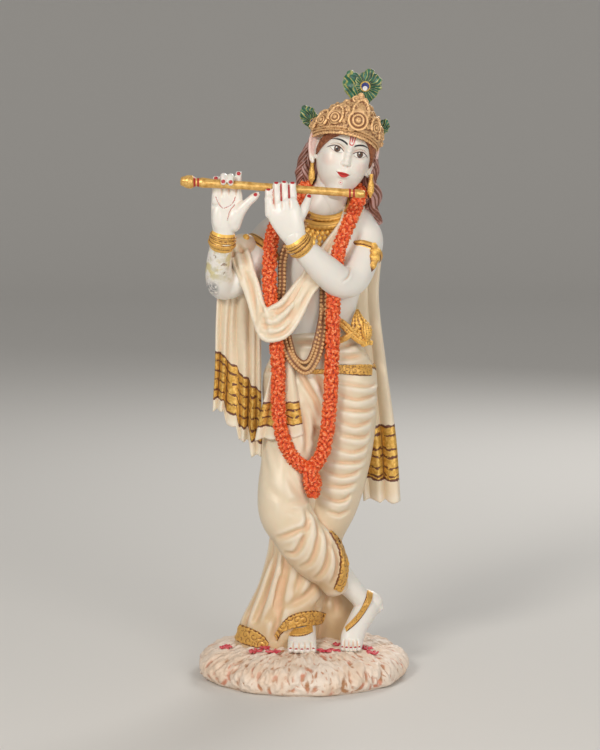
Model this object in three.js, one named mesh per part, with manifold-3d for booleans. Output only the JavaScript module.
// A painted marble-resin figure of a flute player, standing with crossed legs on a round grassy mound.
// The mound, the figure, its cloth, garland, jewels, crown, feathers and flute are one casting.
// Millimetres, +Z up. The figure faces -Y, and the origin is the middle of the mound's underside.
import * as THREE from "three";
import { mergeVertices } from "three/addons/utils/BufferGeometryUtils.js";
import { LoftGeometry } from "three/addons/geometries/LoftGeometry.js";
import Module from "manifold-3d";

// Mound
const MOUND_RADIUS = 55.5;
const MOUND_HEIGHT = 17;
const GRASS_DEPTH = 0.9;
// Figure, from the soles to the feather tips
const FIGURE_HEIGHT = 303;
// Flute
const FLUTE_LENGTH = 91;
const FLUTE_RADIUS = 2.7;
// Garland
const GARLAND_RADIUS = 3.9;
const PETAL_DEPTH = 0.9;
const PETAL_ROWS = 66;
const TASSEL_RADIUS = 4.8;
// Jewels
const CHAIN_WIDTH = 5.2;
const CHAIN_THICKNESS = 2.4;
const BANGLE_WIDTH = 7;
const ARMLET_WIDTH = 3.6;
const BAND_RISE = 0.9;
const BELT_WIDTH = 6.4;
const MEDALLION_RADIUS = 4.6;
const CROWN_RIM = 1.5;
// Feathers
const FEATHER_THICKNESS = 2.4;
// Cloth
const SHAWL_THICKNESS = 5;
const PLEAT_DEPTH = 1.5;
const ROLL_DEPTH = 1.3;

// The most facets that the figure's skin is given, beside the mound's own
const FACETS = 9100;
// Drawing edges together: what a long edge costs, and the cosine of the most that a facet may turn
const SPAN_COST = 1e-3;
const LEAST_TURN = 0.3;

// The pose and the carving are written in parts of the figure's height, up from a mound of 17 parts.
const FIGURE_PARTS = 303;
const SOLE = 17;
const PART = FIGURE_HEIGHT / FIGURE_PARTS;
const IN_MOUND = SOLE - MOUND_HEIGHT / 2 / PART;
const FRONT = [0, -1, 0];
const UP = [0, 0, 1];

const wasm = await Module();
wasm.setup();

function place([x, y, z]) {
  return new THREE.Vector3(x * PART, y * PART, MOUND_HEIGHT + (z - SOLE) * PART);
}

// A smooth line through a list of points in parts
function line(points) {
  return new THREE.CatmullRomCurve3(points.map(place), false, "catmullrom", 0.5);
}

// Closed geometry as a solid, without faces that have shrunk to nothing, and turned round where it is inside
// out
function solid(geometry) {
  const bare = new THREE.BufferGeometry();
  bare.setAttribute("position", geometry.getAttribute("position"));
  bare.setIndex(geometry.index);
  const merged = mergeVertices(bare, 1e-4);
  const vertProperties = merged.attributes.position.array;
  const corners = Array.from(merged.index.array);
  const triVerts = new Uint32Array(corners.filter((_, i) => {
    const [a, b, c] = corners.slice(i - (i % 3), i - (i % 3) + 3);
    return a !== b && b !== c && c !== a;
  }));
  const made = new wasm.Manifold(new wasm.Mesh({ numProp: 3, vertProperties, triVerts }));
  if (made.volume() >= 0) return made;
  const turned = triVerts.map((_, i) => triVerts[i - (i % 3) + [0, 2, 1][i % 3]]);
  return new wasm.Manifold(new wasm.Mesh({ numProp: 3, vertProperties, triVerts: turned }));
}

function join(solids) {
  return solids.reduce((whole, next) => whole.add(next));
}

// A skin over rings, closed at both ends by rings that "close" draws together
function loft(rings, close) {
  return solid(new LoftGeometry([close(rings[0]), ...rings, close(rings.at(-1))]));
}

function toMiddle(points) {
  const middle = points.reduce((sum, p) => sum.add(p), new THREE.Vector3()).divideScalar(points.length);
  return points.map(() => middle);
}

// A rounded form along a line. Each station is [x, y, z, half width, half depth] in parts, the depth lying
// along "facing". "carve" scales the section at an angle and a share of the line, "dome" rounds an end off, and
// a "band" is a raised cuff of a width around a share of the line.
function limb(stations, options = {}) {
  const { sides = 8, steps = 6, facing = FRONT, carve = () => 1, dome = [true, true], band = null } = options;
  const centres = line(stations);
  const halves = new THREE.CatmullRomCurve3(
    stations.map((s) => new THREE.Vector3(s[3] * PART, (s[4] ?? s[3]) * PART, 0)), false, "catmullrom", 0.5);
  const toward = new THREE.Vector3(...facing);
  const rise = band ? BAND_RISE : 0;
  const reach = band ? band.width / 2 / centres.getLength() : 0;
  const [from, to] = band ? [band.at - reach, band.at + reach] : [0, 1];
  const ring = (t, shrink = 1, shift = 0) => {
    const tangent = centres.getTangent(t);
    const depth = toward.clone().addScaledVector(tangent, -toward.dot(tangent)).normalize();
    const width = depth.clone().cross(tangent);
    const half = halves.getPoint(t);
    const middle = centres.getPoint(t).addScaledVector(tangent, shift * Math.min(half.x, half.y));
    return Array.from({ length: sides }, (_, i) => {
      const angle = (i / sides) * 2 * Math.PI;
      const factor = shrink * carve(angle, t);
      return middle.clone()
        .addScaledVector(width, (half.x * factor + rise) * Math.cos(angle))
        .addScaledVector(depth, (half.y * factor + rise) * Math.sin(angle));
    });
  };
  const rings = Array.from({ length: steps + 1 }, (_, i) => ring(from + (to - from) * (i / steps)));
  if (dome[0] && !band) rings.unshift(ring(0, 0.6, -0.7));
  if (dome[1] && !band) rings.push(ring(1, 0.6, 0.7));
  return loft(rings, toMiddle);
}

// Cast cloth between two edges, with a number of ridges side by side. "lap" lets the ridges hang lower than
// the grooves.
function drape(first, last, options) {
  const { across, along, ridges, lap = 0, toward = () => FRONT } = options;
  const { depth = PLEAT_DEPTH, thickness = SHAWL_THICKNESS } = options;
  const [one, other] = [line(first), line(last)];
  const rows = Array.from({ length: along + 1 }, (_, j) => {
    const v = j / along;
    const out = new THREE.Vector3(...toward(v)).normalize();
    const [a, b] = [one.getPoint(v), other.getPoint(v)];
    const face = (sign) =>
      Array.from({ length: across + 1 }, (_, i) => {
        const wave = Math.cos(2 * Math.PI * ridges * (i / across));
        const off = (sign * thickness) / 2 + depth * wave;
        const point = a.clone().lerp(b, i / across).addScaledVector(out, off);
        point.z -= lap * v * wave;
        return point;
      });
    return [...face(1), ...face(-1).reverse()];
  });
  return loft(rows, (points) => points.map((p, i) => p.clone().lerp(points.at(-1 - i), 0.5)));
}

function ball(at, radii, detail = [8, 5]) {
  const shape = new THREE.SphereGeometry(1, ...detail);
  shape.scale(...radii.map((r) => r * PART));
  const centre = place(at);
  shape.translate(centre.x, centre.y, centre.z);
  return solid(shape);
}

// Deep rolls of cloth, full across the front and fading towards the back
function rolls(count, half, fade = 1) {
  return (angle, t) => {
    const depth = t < fade ? ROLL_DEPTH / half : 0;
    const groove = 1 - Math.abs(Math.sin(Math.PI * count * t));
    return 1 - depth * groove * (0.4 + 0.6 * Math.max(0, Math.sin(angle)));
  };
}

function mound() {
  const turf = new THREE.SplineCurve([[1, 0.3], [0.985, 0.52], [0.88, 0.75], [0.6, 0.93], [0.3, 1], [0, 1]]
    .map(([r, z]) => new THREE.Vector2(r * MOUND_RADIUS, z * MOUND_HEIGHT)));
  const profile = [new THREE.Vector2(0, 0), new THREE.Vector2(0.95 * MOUND_RADIUS, 0), ...turf.getPoints(6)];
  profile.at(-1).x = 0;
  const shape = new THREE.LatheGeometry(profile, 40);
  shape.rotateX(Math.PI / 2);
  const points = shape.attributes.position;
  for (let i = 0; i < points.count; i++) {
    const [x, y, z] = [points.getX(i), points.getY(i), points.getZ(i)];
    const tuft = z > 0 ? 1 + (GRASS_DEPTH / MOUND_RADIUS) * Math.sin(10 * Math.atan2(y, x) + z / 4) : 1;
    points.setXY(i, x * tuft, y * tuft);
  }
  return solid(shape);
}

const TORSO = [
  [8.5, 1, 160, 24, 15], [8, 0, 172, 19.5, 13.5], [7.5, 0, 184, 17.3, 11.5],
  [9, 0, 197, 18.8, 12], [10, 0, 212, 22, 13.6],
  [10.5, 1, 226, 25, 13.4], [11, 2, 237, 25, 11.5], [12, 2, 245, 14.5, 9.5],
  [13.5, 0, 252, 9.6, 9.4], [16.5, -2, 264, 9.3, 9.3],
];
const HIPS = [
  [7.8, 0, 180, 17.5, 12.8], [8.4, 0.5, 172, 23.5, 15.6],
  [8.6, 1, 161, 29.5, 17.3], [8.4, 1.5, 149, 30.2, 17.3],
  [7.5, 1.5, 138, 29, 16],
];
function body() {
  const hips = { sides: 18, carve: rolls(6, 17, 0.5) };
  return join([
    limb(TORSO, { sides: 14, steps: 11 }),
    limb(HIPS, { ...hips, steps: 9 }),
    limb(HIPS, { ...hips, steps: 2, band: { at: 0.46, width: BELT_WIDTH } }),
  ]);
}

// The toes of a foot lie side by side in front of it.
function toes(x, y, z, spread) {
  return [-2, -1, 0, 1, 2].map((k) =>
    ball([x + spread * k, y + 0.35 * k * k, z], [0.58 * spread, 3.2, 1.7], [6, 4]));
}

// The leg that stands: its cloth lies in rolls across the thigh, and its foot shows below the hem.
const STANDING_THIGH = [
  [24, 1, 156, 15, 15.5], [22.5, 0, 135, 15.8, 16], [19.8, 0, 114, 15.4, 15], [15.5, 0, 93, 14, 13.5],
  [10, 1, 77, 12, 12.5], [5, 2, 58, 10.5, 11], [2, 2, 38, 9, 9.5],
];
function standingLeg() {
  const foot = [
    [1, 4, 32, 6, 6.5], [0, -3, 26, 6.6, 6], [-0.6, -13, 22, 7.4, 4.6], [-0.8, -21, 19, 7.8, 3],
  ];
  const anklet = [
    [-8, -6, 29, 1.7], [-6, -13.5, 26.5, 1.7], [0, -16.6, 25.6, 1.7], [6, -13.5, 27, 1.7],
    [8, -5, 30, 1.7],
  ];
  return join([
    limb(STANDING_THIGH, { sides: 14, steps: 26, carve: rolls(13, 15, 0.74) }),
    limb(foot, { sides: 10, steps: 4, facing: UP }),
    limb(anklet, { sides: 5, steps: 6 }),
    ...toes(-0.8, -24.5, 17.6, 3),
  ]);
}

// The leg that crosses in front: its cloth sags below the shin to a border, and the bare foot stands on its
// toes.
function crossedLeg() {
  const thigh = [
    [-4, 0, 158, 16, 15.5], [-6, -2, 137, 15.6, 15.5],
    [-7.4, -6, 117, 14.6, 15], [-10.5, -11, 99, 13.6, 14.5],
    [-10, -14.5, 88, 13, 13], [-5, -15.5, 78, 11.5, 11.5],
  ];
  const shin = [
    [-9, -14.5, 91, 12.4, 12], [-4, -16, 79, 13, 11.5], [5, -15, 68, 13.4, 10.5],
    [14, -11.5, 58, 11.6, 9.5], [19, -9, 49, 8, 7.5],
  ];
  const border = [
    [15, -10.5, 71, 1.6, 2], [20, -11.4, 62, 3.4, 5], [22.4, -11.6, 54, 3.8, 5.4],
    [20, -11, 44.5, 2.6, 3.4],
  ];
  const calf = [
    [12, -8, 62, 7, 7], [20, -6.5, 53, 6.6, 6.6], [28, -4, 43.5, 5.4, 5.6], [33, -2, 37, 5.4, 5.8],
  ];
  const foot = [
    [35.5, 1, 36.5, 4.4, 5], [32, -4, 33.5, 6.2, 6], [28.5, -9.5, 28, 5.8, 5.6],
    [25.8, -14.5, 21.8, 6.2, 4.6], [25, -18, 18.6, 6.4, 3],
  ];
  const anklet = [
    [37, -5, 42.5, 1.6], [33.5, -10, 37, 1.6], [28.6, -14.6, 30.4, 1.6], [22.5, -14.5, 25, 1.6],
  ];
  return join([
    limb(thigh, { sides: 14, steps: 9 }),
    limb(shin, { sides: 14, steps: 12, carve: rolls(4, 11), dome: [true, false] }),
    limb(border, { sides: 6, steps: 5 }),
    limb(calf, { sides: 10, steps: 4 }),
    limb(foot, { sides: 10, steps: 6 }),
    limb(anklet, { sides: 5, steps: 5 }),
    ...toes(24.4, -21, 17.8, 2.6),
  ]);
}

// The skirt's long end falls in pleats behind the crossed knee, opens over the mound and trails to a border.
function skirt() {
  const pleats = (count) => (angle, t) => 1 + (PLEAT_DEPTH / 24) * (0.4 + t) * Math.cos(count * angle + 1.2);
  const left = [
    [2, 2, 96, 14, 12.5], [-2.5, 2, 78, 15, 13], [-5, 1.5, 60, 17, 13.6],
    [-10, 1, 42, 20.5, 14.5], [-14.5, 1, 26, 23, 15.6],
    [-16.5, 1, IN_MOUND, 23.5, 16.5],
  ];
  const back = [
    [6, 8, 90, 13, 8], [5, 9, 66, 15, 8.5], [5, 10, 46, 19, 9], [7, 12, 28, 24, 9.5],
    [8, 12, IN_MOUND, 25.5, 10],
  ];
  const hem = [
    [-12.8, -14, 20.5, 2, 2.4], [-10.5, -16, 29, 3.2, 2.6], [-3, -16.8, 35, 3.6, 2.6],
    [6, -15.8, 36.4, 3.6, 2.6], [12.4, -12, 35, 3, 2.6],
  ];
  const trail = [
    [-39.5, 0, 19.5, 2.6, 3], [-34.5, -7.5, 21.5, 3.8, 3], [-27, -13, 21.5, 4.2, 3],
    [-18.5, -15.5, 17.5, 4, 3],
  ];
  return join([
    limb(left, { sides: 22, steps: 7, dome: [true, false], carve: pleats(7) }),
    limb(back, { sides: 16, steps: 5, dome: [true, false], carve: pleats(5) }),
    limb(hem, { sides: 6, steps: 6 }),
    limb(trail, { sides: 6, steps: 5 }),
  ]);
}

// The near end of the waist cloth hangs over the thigh, under the garland.
function waistEnd() {
  return drape(
    [[-15, -13.5, 176], [-18, -15, 160], [-22, -15.5, 144], [-25.5, -15.5, 128]],
    [[-6, -14, 177], [-4, -16.5, 160], [-1.5, -17.5, 144], [0.5, -17.5, 130]],
    { across: 8, along: 4, ridges: 2, thickness: 4.4, depth: 0.8, lap: 1.2 },
  );
}

// The flute's middle line, and the place on it at a share of the way from its far end
const FLUTE_LEFT = [-61, -37.6, 262];
const FLUTE_RIGHT = [29.6, -26, 255.4];
const HOLD = FLUTE_RADIUS / PART;
function onFlute(x) {
  const share = (x - FLUTE_LEFT[0]) / (FLUTE_RIGHT[0] - FLUTE_LEFT[0]);
  return FLUTE_LEFT.map((value, k) => THREE.MathUtils.lerp(value, FLUTE_RIGHT[k], share));
}

// Fingers as [x at the root, x at the tip, height of the tip over the flute's middle]
function fingers(rows, stationsOf) {
  return rows.map(([root, tip, top]) => {
    const [, y, z] = onFlute((root + tip) / 2);
    const stations = stationsOf(root, tip, y, z, top);
    return limb(stations, { sides: 6, steps: 4, dome: [false, true], facing: [1, 0, 0] });
  });
}

const ARM = { sides: 10, steps: 12 };
const RIGHT_ARM = [
  [-8, 2, 236, 10, 9.6], [-16, 0, 232.5, 10, 9.6], [-25, -3.5, 222, 9, 9],
  [-34, -7.5, 211, 8.3, 8.3], [-41, -10, 208, 7.8, 7.6],
  [-43, -15, 212, 7.8, 7.6], [-42.8, -20, 221, 7.2, 6.8],
  [-41.4, -25, 230, 6.2, 5.4], [-40.6, -27.4, 236, 5.9, 4.6],
];
function rightArm() {
  const palm = [
    [-40.6, -27.4, 235, 5.8, 4.4], [-40.2, -28.8, 241, 7.2, 4], [-39, -29.6, 248, 8.3, 3.4],
    [-39, -29.8, 256, 7.9, 2.6],
  ];
  const thumb = [
    [-36, -29, 241, 4.4, 3.6], [-31.6, -31, 248, 3.4, 2.8], [-27.2, -31.8, 252.4, 2.4, 2.3],
    [-23.8, -31.6, 255, 1.8, 1.8],
  ];
  const straight = (root, tip, y, z, top) => [
    [root, y + HOLD + 2.2, z - 8, 2.1], [root, y + HOLD + 2, z - 1, 2], [tip, y + HOLD + 0.8, z + top, 1.7],
  ];
  const curled = (root, tip, y, z) => [
    [root, y + HOLD + 2.2, z - 8, 2.1], [root, y + HOLD + 2, z - 1.5, 2],
    [tip, y + HOLD / 2 + 1, z + HOLD + 1, 1.9],
    [tip, y - 1, z + HOLD + 1.7, 1.8], [tip, y - HOLD - 0.6, z + 1.6, 1.5],
  ];
  return join([
    limb(RIGHT_ARM, ARM),
    limb(RIGHT_ARM, { ...ARM, steps: 2, band: { at: 0.94, width: BANGLE_WIDTH } }),
    limb(RIGHT_ARM, { ...ARM, steps: 2, band: { at: 0.2, width: ARMLET_WIDTH } }),
    limb(palm, { sides: 10, steps: 4 }),
    limb(thumb, { sides: 6, steps: 4 }),
    ...fingers([[-44.6, -44.2, 3.4], [-33.5, -33.3, 6.6]], straight),
    ...fingers([[-40.9, -40.5], [-37.2, -36.8]], curled),
  ]);
}

const LEFT_ARM = [
  [28, 3, 237, 10.5, 10], [33, 1, 229, 9.8, 10], [31.5, -6, 219, 9.3, 9.3],
  [26.5, -13, 210, 9, 8.6], [19.5, -19, 208.2, 8.7, 8],
  [11.5, -25, 215.5, 8.4, 7.6], [4, -30.5, 223.5, 7, 6.2],
  [-2.5, -35, 230.5, 5.8, 4.8], [-5, -36.6, 234, 5.8, 4.4],
];
function leftArm() {
  const palm = [
    [-3.8, -35.8, 232, 5.7, 4.2], [-6.6, -37.4, 238.4, 7.4, 3.6], [-9.4, -38, 245, 8.7, 3.2],
    [-11, -37.2, 250, 8.6, 2.4],
  ];
  const thumb = [[-3.4, -36.4, 241.5, 3, 3], [0, -35, 247.5, 2.6, 2.5], [2.6, -31.6, 253, 2, 2]];
  const laid = (root, tip, y, z, top) => [
    [root, -37.4, 247, 2.15], [root, y - HOLD - 2.6, 253, 2.1], [tip, y - HOLD - 1.8, z + top - 2, 1.95],
    [tip, y - HOLD - 0.6, z + top, 1.7],
  ];
  const jewel = [
    [36.5, -7, 230, 1.8, 2], [37.6, -8, 226.5, 2.6, 2.6], [35.6, -10, 220.5, 1.8, 2],
    [33.6, -11, 215.4, 0.9, 1],
  ];
  return join([
    limb(LEFT_ARM, ARM),
    limb(LEFT_ARM, { ...ARM, steps: 2, band: { at: 0.87, width: BANGLE_WIDTH } }),
    limb(LEFT_ARM, { ...ARM, steps: 2, band: { at: 0.19, width: ARMLET_WIDTH } }),
    limb(jewel, { sides: 6, steps: 4 }),
    limb(palm, { sides: 10, steps: 4 }),
    limb(thumb, { sides: 6, steps: 3 }),
    ...fingers([[-17.6, -17.8, -1.4], [-13.5, -13.7, 2.2], [-9.5, -9.7, 3], [-5.4, -5.6, 3]], laid),
  ]);
}

// The flute runs across in front of the chin, with a knob at its far end.
function flute() {
  const [left, right] = [place(FLUTE_LEFT), place(FLUTE_RIGHT)];
  const along = right.clone().sub(left).normalize();
  const start = left.clone().lerp(right, 0.5).addScaledVector(along, -FLUTE_LENGTH / 2);
  const profile = [
    [0, 0], [0, 0.9], [0.02, 1.3], [0.055, 1.3], [0.08, 0.95], [0.1, 1.1], [0.42, 1.08], [0.6, 0.95],
    [0.93, 0.96], [0.95, 1.1], [1, 1], [1, 0],
  ].map(([share, r]) => new THREE.Vector2(r * FLUTE_RADIUS, share * FLUTE_LENGTH));
  const shape = new THREE.LatheGeometry(profile, 8);
  shape.applyQuaternion(new THREE.Quaternion().setFromUnitVectors(new THREE.Vector3(0, 1, 0), along));
  shape.translate(start.x, start.y, start.z);
  return solid(shape);
}

// The head has axes of its own, to its left, back and up, from the middle of the skull.
const HEAD_CENTRE = new THREE.Vector3(21.4, -2.5, 277.3);
const HEAD_TILT = new THREE.Euler(0, THREE.MathUtils.degToRad(15), THREE.MathUtils.degToRad(8), "YZX");
const HEAD_FRONT = new THREE.Vector3(...FRONT).applyEuler(HEAD_TILT).toArray();
function onHead([x, y, z, ...halves]) {
  return [...new THREE.Vector3(x, y, z).applyEuler(HEAD_TILT).add(HEAD_CENTRE), ...halves];
}
function headLimb(stations, options = {}) {
  return limb(stations.map(onHead), { facing: HEAD_FRONT, sides: 6, steps: 4, ...options });
}
const bothSides = (make) => [-1, 1].map(make);

function head() {
  const skull = [
    [0, -9, -20.4, 4.8, 4.6], [0, -7, -17, 8.4, 8.8], [0, -4, -11.5, 11.8, 12],
    [0, -1.6, -5, 13.6, 14.6], [0, 0, 2, 14.2, 16.4],
    [0, 1, 9, 14.6, 17.4], [0, 2, 16, 13, 15.6], [0, 2.4, 20, 8.6, 10.4],
  ];
  const lip = (z, r, y) => [[-3.6, y + 1, z, 0.5, 0.5], [0, y - 0.2, z, 1.2, r], [3.6, y + 1, z, 0.5, 0.5]];
  const lips = [lip(-12.6, 0.8, -15), lip(-14.4, 1, -14.6)];
  const brow = (s) => [
    [s * 2, -15.8, 4, 0.9, 0.9], [s * 6, -15, 5.4, 0.9, 1], [s * 10.4, -11.8, 4, 0.7, 0.8],
  ];
  const ear = (s) => [
    [s * 14, 0, 6, 1.3, 2.4], [s * 15.2, 0.4, 1, 1.7, 3.6],
    [s * 14.6, -0.4, -5, 1.4, 2.4], [s * 13.8, -0.6, -9, 1.1, 1.4],
  ];
  const earring = (s) => [
    [s * 14, -1.6, -9, 0.9], [s * 13.8, -2, -13, 1.4], [s * 13.4, -2, -16.4, 2],
    [s * 13.2, -2, -18.6, 1.2],
  ];
  return join([
    limb(skull.map(onHead), { sides: 14, steps: 10, facing: HEAD_FRONT }),
    headLimb([[0, -15.2, 3, 1.3, 1.4], [0, -15.8, -3, 2, 2.6], [0, -15.4, -7.4, 3.2, 3.8]], { steps: 3 }),
    ...lips.map((stations) => headLimb(stations, { facing: UP, steps: 2 })),
    ...bothSides((s) => headLimb(brow(s), { steps: 3 })),
    ...bothSides((s) => ball(onHead([s * 6, -12.8, 0.4]), [3, 2.4, 1.8], [8, 5])),
    ...bothSides((s) => headLimb(ear(s))),
    ...bothSides((s) => headLimb(earring(s))),
  ]);
}

// Hair: a cap under the crown, a waved mass down the back, and locks in front of the shoulders
function hair() {
  const waves = (angle, t) => 1 + 0.07 * Math.cos(7 * angle + 5 * Math.sin(6 * t));
  const mass = [
    [20, 6, 279, 18, 9], [18.5, 8.5, 266, 20, 8.4], [18, 11.5, 254, 20.5, 7],
    [18, 13.6, 240, 19, 5], [17, 14.8, 228, 14, 3.6], [16, 15, 219, 7, 2.4],
  ];
  const locks = [
    [
      [3.4, 1, 284, 2.4, 3.4], [0.8, 0.5, 275, 3, 3.8], [-0.6, 0, 267, 3.4, 4], [1, 0, 259.5, 4, 4],
      [-2, 3, 252, 3, 3],
    ],
    [
      [36.4, 2, 274, 2.6, 3.4], [36.6, 1, 266, 3.2, 3.8], [35.4, 0.5, 258, 4, 4],
      [38.6, 2, 251.5, 3.6, 3.6], [36.6, 5, 244, 2.6, 2.8],
    ],
  ];
  return join([
    headLimb([
      [0, 6, -10, 12, 11.6], [0, 5.6, -2, 15, 14.4], [0, 4, 7, 16, 16.4], [0, 3.6, 14, 15, 15.6],
    ], { sides: 14, steps: 5 }),
    limb(mass, { sides: 20, steps: 6, facing: [0, 1, 0], carve: waves }),
    ...locks.map((stations) => limb(stations, { sides: 6, steps: 7 })),
  ]);
}

// The crown is a cap that rises to a peak in front, with a rolled rim and round medallions along its slopes.
const CROWN_LEVELS = [
  { half: 18, front: -20.6, back: 20, low: -1, high: 8.5 },
  { half: 19.8, front: -21.4, back: 20.6, low: 3, high: 14 },
  { half: 18.8, front: -20.4, back: 19.4, low: 8, high: 19 },
  { half: 15, front: -18.4, back: 16.6, low: 13.5, high: 23.6 },
  { half: 8.8, front: -15.8, back: 11, low: 18, high: 27.6 },
  { half: 2.4, front: -12.6, back: 1, low: 23.6, high: 30.6 },
];
function crownPoint(level, turn) {
  const k = Math.min(Math.floor(level), CROWN_LEVELS.length - 2);
  const [a, b] = [CROWN_LEVELS[k], CROWN_LEVELS[k + 1]];
  const at = (name) => THREE.MathUtils.lerp(a[name], b[name], level - k);
  const ahead = (1 + Math.cos(turn)) / 2;
  const y = (at("front") + at("back")) / 2 - ((at("back") - at("front")) / 2) * Math.cos(turn);
  return onHead([at("half") * Math.sin(turn), y, THREE.MathUtils.lerp(at("low"), at("high"), ahead ** 1.4)]);
}
function crown() {
  const sides = 20;
  const turns = Array.from({ length: sides }, (_, i) => (i / sides) * 2 * Math.PI);
  const rings = CROWN_LEVELS.map((_, level) => turns.map((turn) => place(crownPoint(level, turn))));
  const rim = new THREE.CatmullRomCurve3(turns.map((turn) => place(crownPoint(0.1, turn))), true);
  const roll = new THREE.TubeGeometry(rim, 24, CROWN_RIM, 5, true);
  const medallion = ([level, turn, size]) => {
    const out = new THREE.Vector3(Math.sin(turn), -Math.cos(turn), 0.3).applyEuler(HEAD_TILT);
    const radius = (size * MEDALLION_RADIUS) / PART;
    const seat = new THREE.Vector3(...crownPoint(level, turn));
    const at = (rise, share) => [...seat.clone().addScaledVector(out, rise), share * radius];
    return limb([at(-1.6, 1), at(0.8, 1), at(1.5, 0.7)], { steps: 2, facing: UP, dome: [false, false] });
  };
  const middle = [[1.5, 0, 1.15], [3.3, 0, 0.8]];
  const beside = [[1.5, 0.68, 0.85], [1.15, 1.1, 0.85], [0.9, 1.55, 0.7]];
  const opposite = beside.map(([level, turn, size]) => [level, -turn, size]);
  const medallions = [...middle, ...beside, ...opposite].map(medallion);
  return join([loft(rings, toMiddle), solid(roll), ...medallions]);
}

// A feather is a flat fan: its eye leans out along "way" from its root.
function feather(root, way, size, side) {
  const tip = root.map((value, k) => value + way[k]);
  const between = (t) => root.map((value, k) => THREE.MathUtils.lerp(value, tip[k], t));
  const thin = FEATHER_THICKNESS / 2 / PART;
  const shape = [[0, 0.35], [0.5, 1], [0.85, 0.85], [1, 0.3]];
  const fan = shape.map(([t, share]) => [...between(t), share * size, thin]);
  return limb(fan, { steps: 5, facing: side });
}
function feathers() {
  return join([
    feather([30.5, 1, 302], [-6.5, 1, 15], 4.6, FRONT),
    feather([31, 0, 301], [4, 0, 18.2], 7.2, FRONT),
    feather([9.6, 2, 292], [-10, 1, 8], 4.6, FRONT),
    feather([38, 3, 289], [5.6, 1, 2.4], 4, FRONT),
  ]);
}

// The shawl runs from the pleated end behind the left shoulder over the chest, sags across the belly, passes
// over the crook of the right arm and hangs down beside it.
function shawl() {
  const overShoulder = (v) => (v < 0.12 ? [0, -1, 1.4] : FRONT);
  const overChest = drape(
    [
      [20, 8, 251], [19.5, -9.5, 243], [12, -13.6, 232], [4, -15, 221],
      [-3, -17.5, 210], [-9, -19.5, 201.5], [-15.5, -20, 197],
      [-20.5, -18, 204], [-25, -14, 218], [-30, -12, 230],
    ],
    [
      [34, 9, 248], [28.5, -8.5, 241], [20.5, -14.5, 226], [13, -16.5, 212],
      [5, -19, 200], [-4, -21, 186.5], [-14, -21, 178.6],
      [-24, -18.4, 182.5], [-32, -14.5, 201], [-39, -13, 222],
    ],
    { across: 9, along: 16, ridges: 2.5, depth: 0.9, thickness: 7, toward: overShoulder },
  );
  const crook = limb([
    [-27, -6, 226, 6, 5], [-31, -9, 228.5, 6, 5], [-36, -9, 226, 6, 5], [-38.5, -6, 218, 6, 5],
  ], { sides: 8, steps: 4 });
  const beside = drape(
    [[-38, -8, 228], [-44, -5, 212], [-46, -3, 190], [-46.6, -2, 165], [-48, -2, 142]],
    [[-26, -8, 228], [-22, -6, 210], [-22, -4, 185], [-22, -3, 150], [-21.6, -3, 118]],
    { across: 20, along: 6, ridges: 5, lap: 2.5, thickness: 7 },
  );
  const behind = drape(
    [[24, 12, 247], [24, 13.5, 225], [23, 13, 195], [26, 15, 160], [29, 14.5, 125], [32, 13, 92]],
    [[41, 8, 243], [42, 10, 225], [39.5, 9.5, 200], [44, 11, 165], [49.5, 10, 125], [52, 9, 91]],
    { across: 14, along: 7, ridges: 3.5, lap: 1 },
  );
  return join([overChest, crook, beside, behind]);
}

// A string of crumpled petals around the neck and down to a tassel between the thighs
const GARLAND = [
  [16, 13, 256], [4, 8, 259], [0.5, -3, 257.5], [-6, -10.5, 249], [-13, -14, 241],
  [-16.5, -15, 232], [-17.5, -17, 219], [-17.4, -18, 206], [-16, -19, 193],
  [-14, -19.5, 178], [-13, -20, 163], [-13.2, -20, 147], [-11.4, -20.4, 132],
  [-6, -21, 119.5], [2.8, -21.6, 113.4], [9.6, -21.4, 121],
  [12.8, -20.6, 137], [14.2, -20, 158], [15, -17.5, 180], [15.4, -18.5, 200],
  [16.4, -19, 214], [18.4, -17.5, 227], [23, -13.5, 239], [27.4, -7, 249],
  [29.4, 0, 256], [26, 8, 259], [17, 12.6, 257],
];
function garland() {
  const radius = GARLAND_RADIUS / PART;
  const share = PETAL_DEPTH / GARLAND_RADIUS;
  const petals = (angle, t) => 1 + share * Math.cos(Math.PI * PETAL_ROWS * t) * Math.cos(3 * angle);
  const string = { sides: 6, steps: PETAL_ROWS, carve: petals, facing: [0.1, -1, 0.2] };
  const tassel = TASSEL_RADIUS / PART;
  return join([
    limb(GARLAND.map((point) => [...point, radius]), string),
    limb([
      [3.4, -22, 112, 0.8 * tassel], [4.6, -22, 106, tassel], [5, -22, 101.5, 0.8 * tassel],
    ], { sides: 8, steps: 3 }),
  ]);
}

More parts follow.
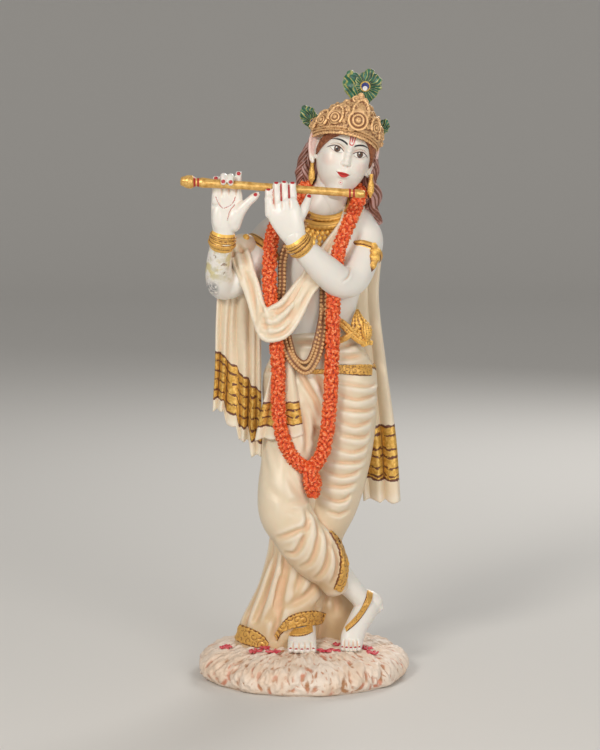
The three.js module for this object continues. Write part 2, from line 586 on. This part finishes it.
function necklaces() {
  const band = [CHAIN_WIDTH / 2 / PART, CHAIN_THICKNESS / 2 / PART];
  const long = [
    [4, -9.5, 243], [-5, -12.5, 234], [-10.5, -13.5, 222], [-11.2, -14, 208],
    [-12, -14, 194], [-10.5, -14.6, 180], [-6, -17, 169.5],
    [1.3, -18.4, 164], [6.8, -16.6, 171], [9.8, -13.6, 184], [10.4, -13.4, 200],
    [11, -14.2, 214], [14, -13.8, 228], [20, -10.5, 240],
  ].map((point) => [...point, ...band]);
  const chokers = [
    [13.2, 0, 247.5, 11.4, 1.9], [12.6, -0.6, 243, 13.6, 2.4],
  ].map(([x, y, z, radius, tube]) => {
    const shape = new THREE.TorusGeometry(radius * PART, tube * PART, 5, 18);
    shape.rotateX(THREE.MathUtils.degToRad(20));
    const centre = place([x, y, z]);
    shape.translate(centre.x, centre.y, centre.z);
    return solid(shape);
  });
  const drops = [-2, -1, 0, 1, 2].map((k) =>
    ball([10.6 + 3.2 * k, -13.6 + 0.6 * k * k, 233.6 + 0.9 * k * k], [2, 1.8, 2.2], [6, 4]));
  const pendant = ball([11, -14.2, 228.6], [2.4, 1.8, 3.4], [6, 4]);
  return join([limb(long, { sides: 6, steps: 26 }), ...chokers, ...drops, pendant]);
}

// A gilt knot of the waist cloth on the left hip
function waistKnot() {
  const leaf = [
    [27.5, -4, 194, 1.4, 1.6], [29.5, -6.5, 189, 4, 3.2], [31, -8.5, 184, 5, 3.4],
    [31, -9.5, 179.5, 3, 2.8],
  ];
  const tie = [[16.5, -12.6, 189.6, 2.4, 1.8], [25, -11.4, 184.4, 2.6, 2], [34, -7.5, 179, 2.4, 2]];
  return join([
    limb(leaf, { steps: 4, sides: 6 }),
    limb(tie, { steps: 3, sides: 6 }),
  ]);
}

// The joins leave far more facets than the form needs. Edges are drawn together, the least missed first,
// until "most" facets are left. An edge goes only where its ends share just two neighbours, which keeps the
// skin closed, and where no facet turns over.
function drawTogether({ vertProperties, triVerts }, most) {
  const points = Array.from({ length: vertProperties.length / 3 }, (_, i) =>
    new THREE.Vector3().fromArray(vertProperties, 3 * i));
  let faces = Array.from({ length: triVerts.length / 3 }, (_, i) =>
    Array.from(triVerts.slice(3 * i, 3 * i + 3)));
  const [side, edge, normal] = [new THREE.Vector3(), new THREE.Vector3(), new THREE.Vector3()];
  const facing = ([a, b, c], to) =>
    to.crossVectors(side.subVectors(points[b], points[a]), edge.subVectors(points[c], points[a]));
  for (let before = Infinity; faces.length > most && faces.length < before;) {
    before = faces.length;
    const planes = points.map(() => []);
    const around = points.map(() => new Set());
    for (const face of faces) {
      const size = facing(face, normal).length();
      if (size > 0) normal.divideScalar(size);
      const plane = [normal.x, normal.y, normal.z, -normal.dot(points[face[0]]), size];
      for (const corner of face) {
        planes[corner].push(plane);
        around[corner].add(face);
      }
    }
    const loss = (list, p) =>
      list.reduce((sum, [x, y, z, w, size]) => sum + size * (x * p.x + y * p.y + z * p.z + w) ** 2, 0);
    const edges = [];
    for (const face of faces) {
      for (const k of [0, 1, 2]) {
        const [a, b] = [face[k], face[(k + 1) % 3]];
        if (a > b) continue;
        const both = planes[a].concat(planes[b]);
        const span = points[a].distanceToSquared(points[b]);
        const choices = [0, 0.5, 1].map((t) => points[a].clone().lerp(points[b], t));
        const costs = choices.map((p) => loss(both, p) + SPAN_COST * span * span);
        const best = costs.indexOf(Math.min(...costs));
        edges.push({ a, b, to: choices[best], cost: costs[best] });
      }
    }
    edges.sort((one, other) => one.cost - other.cost);
    const touched = new Set();
    const dropped = new Set();
    let left = faces.length;
    for (const { a, b, to } of edges) {
      if (left <= most) break;
      const ring = new Set([...around[a], ...around[b]].flat());
      if ([...ring].some((v) => touched.has(v))) continue;
      const beside = (v) => new Set([...around[v]].flat());
      const shared = [...beside(a)].filter((v) => v !== a && v !== b && beside(b).has(v));
      if (shared.length !== 2) continue;
      const gone = [...around[a]].filter((face) => around[b].has(face));
      const kept = [...around[a], ...around[b]].filter((face) => !gone.includes(face));
      const old = kept.map((face) => facing(face, new THREE.Vector3()).normalize());
      const [wasA, wasB] = [points[a], points[b]];
      points[a] = to;
      points[b] = to;
      if (kept.some((face, i) => facing(face, normal).normalize().dot(old[i]) < LEAST_TURN)) {
        points[a] = wasA;
        points[b] = wasB;
        continue;
      }
      for (const face of around[b]) face.splice(face.indexOf(b), 1, a);
      for (const face of gone) dropped.add(face);
      for (const v of ring) touched.add(v);
      left -= 2;
    }
    faces = faces.filter((face) => !dropped.has(face));
  }
  const geometry = new THREE.BufferGeometry();
  geometry.setAttribute("position", new THREE.Float32BufferAttribute(points.flatMap((p) => p.toArray()), 3));
  geometry.setIndex(faces.flat());
  return geometry;
}

// The casting is solid, so a pocket that is shut in between its parts is filled: only the outer skin is kept.
function cast() {
  const pieces = [
    body(), standingLeg(), crossedLeg(), skirt(), waistEnd(), rightArm(), leftArm(), flute(), head(), hair(),
    crown(), feathers(), shawl(), garland(), necklaces(), waistKnot(),
  ];
  const larger = (one, other) => (one.volume() > other.volume() ? one : other);
  const outer = (solids) => join(solids).decompose().reduce(larger);
  const figure = solid(drawTogether(outer(pieces).getMesh(), FACETS));
  const { vertProperties, triVerts } = outer([mound(), figure]).getMesh();
  const geometry = new THREE.BufferGeometry();
  geometry.setAttribute("position", new THREE.BufferAttribute(vertProperties, 3));
  geometry.setIndex(new THREE.BufferAttribute(triVerts, 1));
  geometry.computeVertexNormals();
  return geometry;
}

const resin = new THREE.MeshStandardMaterial({ color: 0xefe6d2, roughness: 0.45, metalness: 0 });
const figure = new THREE.Mesh(cast(), resin);
figure.name = "krishna_figure";

const group = new THREE.Group();
group.add(figure);
export default group;
